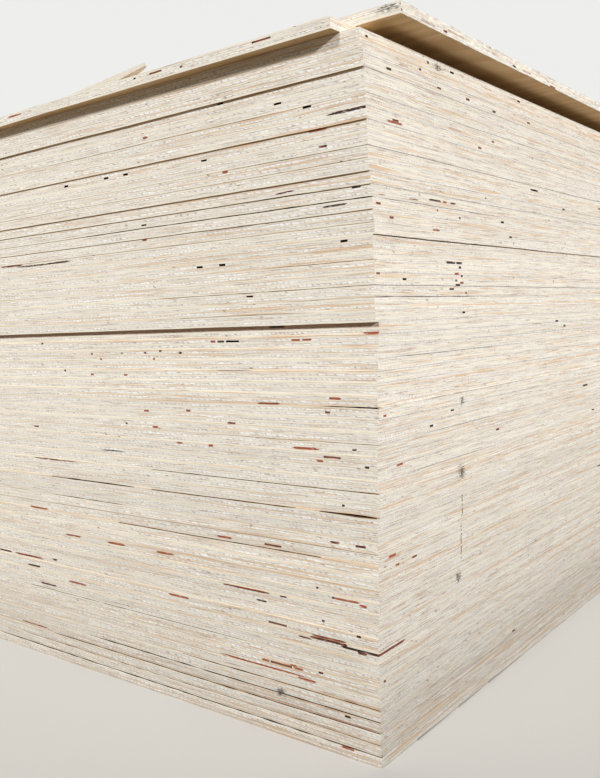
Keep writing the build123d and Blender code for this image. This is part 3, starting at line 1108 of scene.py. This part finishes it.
# Damage, in metres from the near corner of its sheet
ROOT, CROTCH, TIP = 405 * MM, 308 * MM, 258 * MM
TIP_ROUND = 2.1 * MM
SPLINTER_WIDTH = 8.8 * MM
SPLINTER_BACK = 4.0 * MM
SPLINTER_POINT = 26 * MM
SPLINTER_STATIONS = (405, 385, 360, 335, 318, 308, 298, 288, 279, 271, 265, 262, 260.1, 259.2, 258.5, 258.1)
CHIP = (143 * MM, 148 * MM, 158 * MM)
CHIP_DEPTH = 2.1 * MM
SLIVERS = ((70 * MM, 88 * MM), (164 * MM, 74 * MM), (243 * MM, 118 * MM))
SLIVER_DEPTH = 2.2 * MM
CRUSHED = 6 * MM
CRUSHED_BACK = (0.8 * MM, 0.7 * MM, 0.3 * MM)
RAGGED = 1.7 * MM


def splinter_sections(lift):
    """Place along the edge of each section of the splinter, root first, and its four corners."""
    for station in SPLINTER_STATIONS:
        along = station * MM
        upper = max(0.2 * MM, lift * (ROOT - along) / (ROOT - TIP))
        free = max(0.0, (CROTCH - along) / (CROTCH - TIP))
        under = free * (lift - 2 * TIP_ROUND) if free else -0.3 * MM
        blunt = math.sqrt(1 - max(0.0, (TIP + TIP_ROUND - along) / TIP_ROUND) ** 2)
        middle, half = (upper + under) / 2, (upper - under) / 2 * blunt
        width = SPLINTER_WIDTH * min(1.0, 0.12 + math.sqrt((along - TIP) / SPLINTER_POINT))
        back = min(middle + half, max(middle - half + 0.3 * MM, SPLINTER_BACK))
        rough = 0.25 * MM * wander(along * 300, 2.0, 9.0)
        yield along, (
            (0.1 * MM, middle - half + max(0.0, rough)), (0.1 * MM, middle + half - abs(rough)),
            (width, back), (width, middle - half),
        )


def sheet_notches(sheet, edge):
    """Distances along an edge where its damage begins and ends."""
    if sheet.number == 1 and edge == "right":
        return [CRUSHED] + [d for start, run in SLIVERS for d in (start - 0.3 * MM, start, start + run)]
    if sheet.number == 1 and edge == "front":
        return [CRUSHED]
    if sheet.number == SHEETS and edge == "right":
        return list(CHIP)
    return []


def shape_bottom_sheet(vert, row, edge, along, inward):
    """Slivers torn from the lower right edge, each deepest at its near end, and the crushed corner."""
    if edge == "right" and row == 0:
        for start, run in SLIVERS:
            if start <= along + 1e-6 <= start + run:
                vert.co.z += SLIVER_DEPTH * (1 - (along - start) / run)
    if along == 0.0 and row < len(CRUSHED_BACK) and vert.co.x > 0 > vert.co.y:
        vert.co += inward * CRUSHED_BACK[row]


def shape_top_sheet(vert, row, edge, along, inward):
    """The ragged right edge of the loose top sheet, and the chip in it."""
    if edge != "right":
        return
    torn = 0.5 + 0.5 * wander(along * 120, row * 1.9, 4.2)
    ragged = RAGGED * torn ** 2 * (0.4 + 0.6 * row / PLIES)
    vert.co += inward * ragged
    if row == PLIES:
        start, bottom, end = CHIP
        run = (along - start) / (bottom - start) if along < bottom else (end - along) / (end - bottom)
        nick = 0.9 * MM * max(0.0, wander(along * 85, 7.7, 1.3)) ** 2
        vert.co.z -= max(CHIP_DEPTH * max(0.0, run), nick)


def unseen_marks(settings):
    """Marks beyond what the picture shows, as many to the metre and in no order."""
    rng = random.Random(settings.seed)
    plies = {"front": (LOWER_CROSS, UPPER_CROSS), "right": (LOWER_FACE, CORE, UPPER_FACE)}
    plies["back"], plies["left"] = plies["front"], plies["right"]
    first = {"front": 0.63, "right": 0.45, "back": 0.03, "left": 0.03}
    last = {"front": 2.38, "right": 1.18, "back": 2.38, "left": 1.18}
    marks = []
    for edge in EDGES:
        for sheet in range(1, SHEETS + 1):
            for _ in range(rng.choice((0, 1, 1, 2)) if last[edge] > 2 else rng.choice((0, 0, 1))):
                long_streak = rng.random() < 0.5
                size = rng.uniform(18, 42) * MM if long_streak else rng.uniform(8, 12) * MM
                hole = 0.0 if long_streak or rng.random() < 0.4 else UNSEEN_DEPTH
                middle = rng.uniform(first[edge], last[edge])
                ply = rng.choice(plies[edge])
                marks.append(Mark(sheet, ply, edge, middle, size, rng.random(), hole=hole))
    return marks


def build_nodes(nodes):
    """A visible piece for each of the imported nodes."""
    settings = bpy.context.scene.plywood_sheets
    marks = SEEN_MARKS + unseen_marks(settings)
    rng = random.Random(f"{settings.seed} {nodes}")
    for node in nodes:
        builder = SheetBuilder(settings)
        for sheet in read_sheets(node, marks):
            builder.add(sheet, {1: shape_bottom_sheet, SHEETS: shape_top_sheet}.get(sheet.number))
            if sheet.number == SHEETS - 1:
                builder.add_splinter(sheet)
            for edge in EDGES:
                for _ in range(rng.choice((0, 1, 1, 2))):
                    builder.add_fibre(sheet, edge, rng)
        builder.finish(f"{node}_wood", node)


class PLYWOOD_OT_lower_pack(bpy.types.Operator):
    """Sheets of the lower pack, lift by lift"""

    bl_idname = "plywood.lower_pack"
    bl_label = "Lower pack"

    def execute(self, context):
        build_nodes(sorted(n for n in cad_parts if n.startswith("lower_pack")))
        return {"FINISHED"}


class PLYWOOD_OT_upper_pack(bpy.types.Operator):
    """Sheets of the upper pack, lift by lift"""

    bl_idname = "plywood.upper_pack"
    bl_label = "Upper pack"

    def execute(self, context):
        build_nodes(sorted(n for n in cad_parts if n.startswith("upper_pack")))
        return {"FINISHED"}


class PLYWOOD_OT_loose_sheets(bpy.types.Operator):
    """The splintered sheet and the loose one on top"""

    bl_idname = "plywood.loose_sheets"
    bl_label = "Loose sheets"

    def execute(self, context):
        build_nodes([SPLINTERED, LOOSE_TOP])
        return {"FINISHED"}


# Tint of the light that comes from all round and off the floor
WARM = (1.0, 0.84, 0.68)


def add_sun(name, towards, strength, angle):
    """A sun whose light comes from a direction."""
    light = bpy.data.lights.new(name, "SUN")
    light.energy = strength
    light.angle = angle
    lamp = bpy.data.objects.new(name, light)
    lamp.rotation_euler = Vector(towards).to_track_quat("Z", "Y").to_euler()
    bpy.context.scene.collection.objects.link(lamp)


class PLYWOOD_OT_stage(bpy.types.Operator):
    """Pale floor, soft light and the camera"""

    bl_idname = "plywood.stage"
    bl_label = "Stage"

    def execute(self, context):
        stage = context.scene.plywood_stage
        self.add_floor(stage)
        self.add_world(stage)
        add_sun("key_light", (0.84, -0.42, 0.35), stage.key, math.radians(5))
        add_sun("front_light", (0.06, -0.76, 0.64), stage.front, math.radians(12))
        add_sun("back_light", (-0.70, 0.62, 0.35), stage.back, math.radians(30))
        self.add_camera(context)
        context.scene.view_settings.view_transform = "Standard"
        return {"FINISHED"}

    def add_floor(self, stage):
        bm = bmesh.new()
        bmesh.ops.create_circle(bm, cap_ends=True, segments=64, radius=stage.reach)
        mesh = bpy.data.meshes.new("floor")
        bm.to_mesh(mesh)
        bm.free()
        floor = bpy.data.objects.new("floor", mesh)
        bpy.context.scene.collection.objects.link(floor)
        graph = Graph(bpy.data.materials.new("floor"))
        x, y, _ = graph.object_point()
        grain = graph.noise(x * 3.0, y * 3.0, detail=3.0)
        seen = graph.node("ShaderNodeLightPath", {}, {})["Is Camera Ray"]
        tone = graph.blend(seen, stage.bounce, grain * 0.04 + 0.98)
        tint = graph.mix(seen, graph.mix(1.0, stage.floor, WARM, "MULTIPLY"), stage.floor)
        solid = graph.principled(Base_Color=graph.shade(tint, tone), Roughness=1.0, Specular_IOR_Level=0.0)
        clear = graph.node("ShaderNodeBsdfTransparent", {}, {})["BSDF"]
        far = (x * x + y * y).math("SQRT").step(4.0, 16.0)
        mesh.materials.append(graph.finish(graph.fade(far, solid, clear)))

    def add_world(self, stage):
        world = bpy.data.worlds.new("studio")
        bpy.context.scene.world = world
        graph = Graph(world)
        path = graph.node("ShaderNodeLightPath", {}, {})
        seen = path["Is Camera Ray"].most(path["Is Glossy Ray"])
        light = graph.node("ShaderNodeBackground", {}, {"Color": WARM, "Strength": stage.fill})
        sight = graph.node("ShaderNodeBackground", {}, {"Color": stage.backdrop, "Strength": 1.0})
        both = graph.fade(seen, light["Background"], sight["Background"])
        graph.finish(both, "ShaderNodeOutputWorld")

    def add_camera(self, context):
        lens = bpy.data.cameras.new("camera")
        lens.lens = 39.60
        lens.sensor_width = 36.0
        lens.clip_end = 200.0
        camera = bpy.data.objects.new("camera", lens)
        right = Vector((0.78976, 0.61214, -0.03957))
        up = Vector((-0.01798, 0.08758, 0.99600))
        back = Vector((0.61315, -0.78588, 0.08017))
        turn = Matrix((right, up, back)).transposed().to_4x4()
        camera.matrix_world = Matrix.Translation((1.6762, -1.3048, 0.4542)) @ turn
        context.scene.collection.objects.link(camera)
        context.scene.camera = camera


class PLYWOOD_PT_panel(bpy.types.Panel):
    """Lists the pieces of the stack and their settings"""

    bl_idname = "PLYWOOD_PT_panel"
    bl_label = "Plywood stack"
    bl_space_type = "VIEW_3D"
    bl_region_type = "UI"
    bl_category = "Plywood"

    def draw(self, context):
        for operator in OPERATORS:
            self.layout.operator(operator.bl_idname)
        for group in (context.scene.plywood_sheets, context.scene.plywood_wood, context.scene.plywood_stage):
            box = self.layout.box()
            for name in group.__annotations__:
                box.prop(group, name)


OPERATORS = (PLYWOOD_OT_stage, PLYWOOD_OT_lower_pack, PLYWOOD_OT_upper_pack, PLYWOOD_OT_loose_sheets)
CLASSES = (SheetSettings, WoodSettings, StageSettings, *OPERATORS, PLYWOOD_PT_panel)


def register():
    for cls in CLASSES:
        bpy.utils.register_class(cls)
    bpy.types.Scene.plywood_sheets = PointerProperty(type=SheetSettings)
    bpy.types.Scene.plywood_wood = PointerProperty(type=WoodSettings)
    bpy.types.Scene.plywood_stage = PointerProperty(type=StageSettings)


def unregister():
    del bpy.types.Scene.plywood_stage
    del bpy.types.Scene.plywood_wood
    del bpy.types.Scene.plywood_sheets
    for cls in reversed(CLASSES):
        bpy.utils.unregister_class(cls)


def main():
    register()
    bpy.ops.plywood.stage()
    bpy.ops.plywood.lower_pack()
    bpy.ops.plywood.upper_pack()
    bpy.ops.plywood.loose_sheets()


if __name__ == "__main__":
    main()
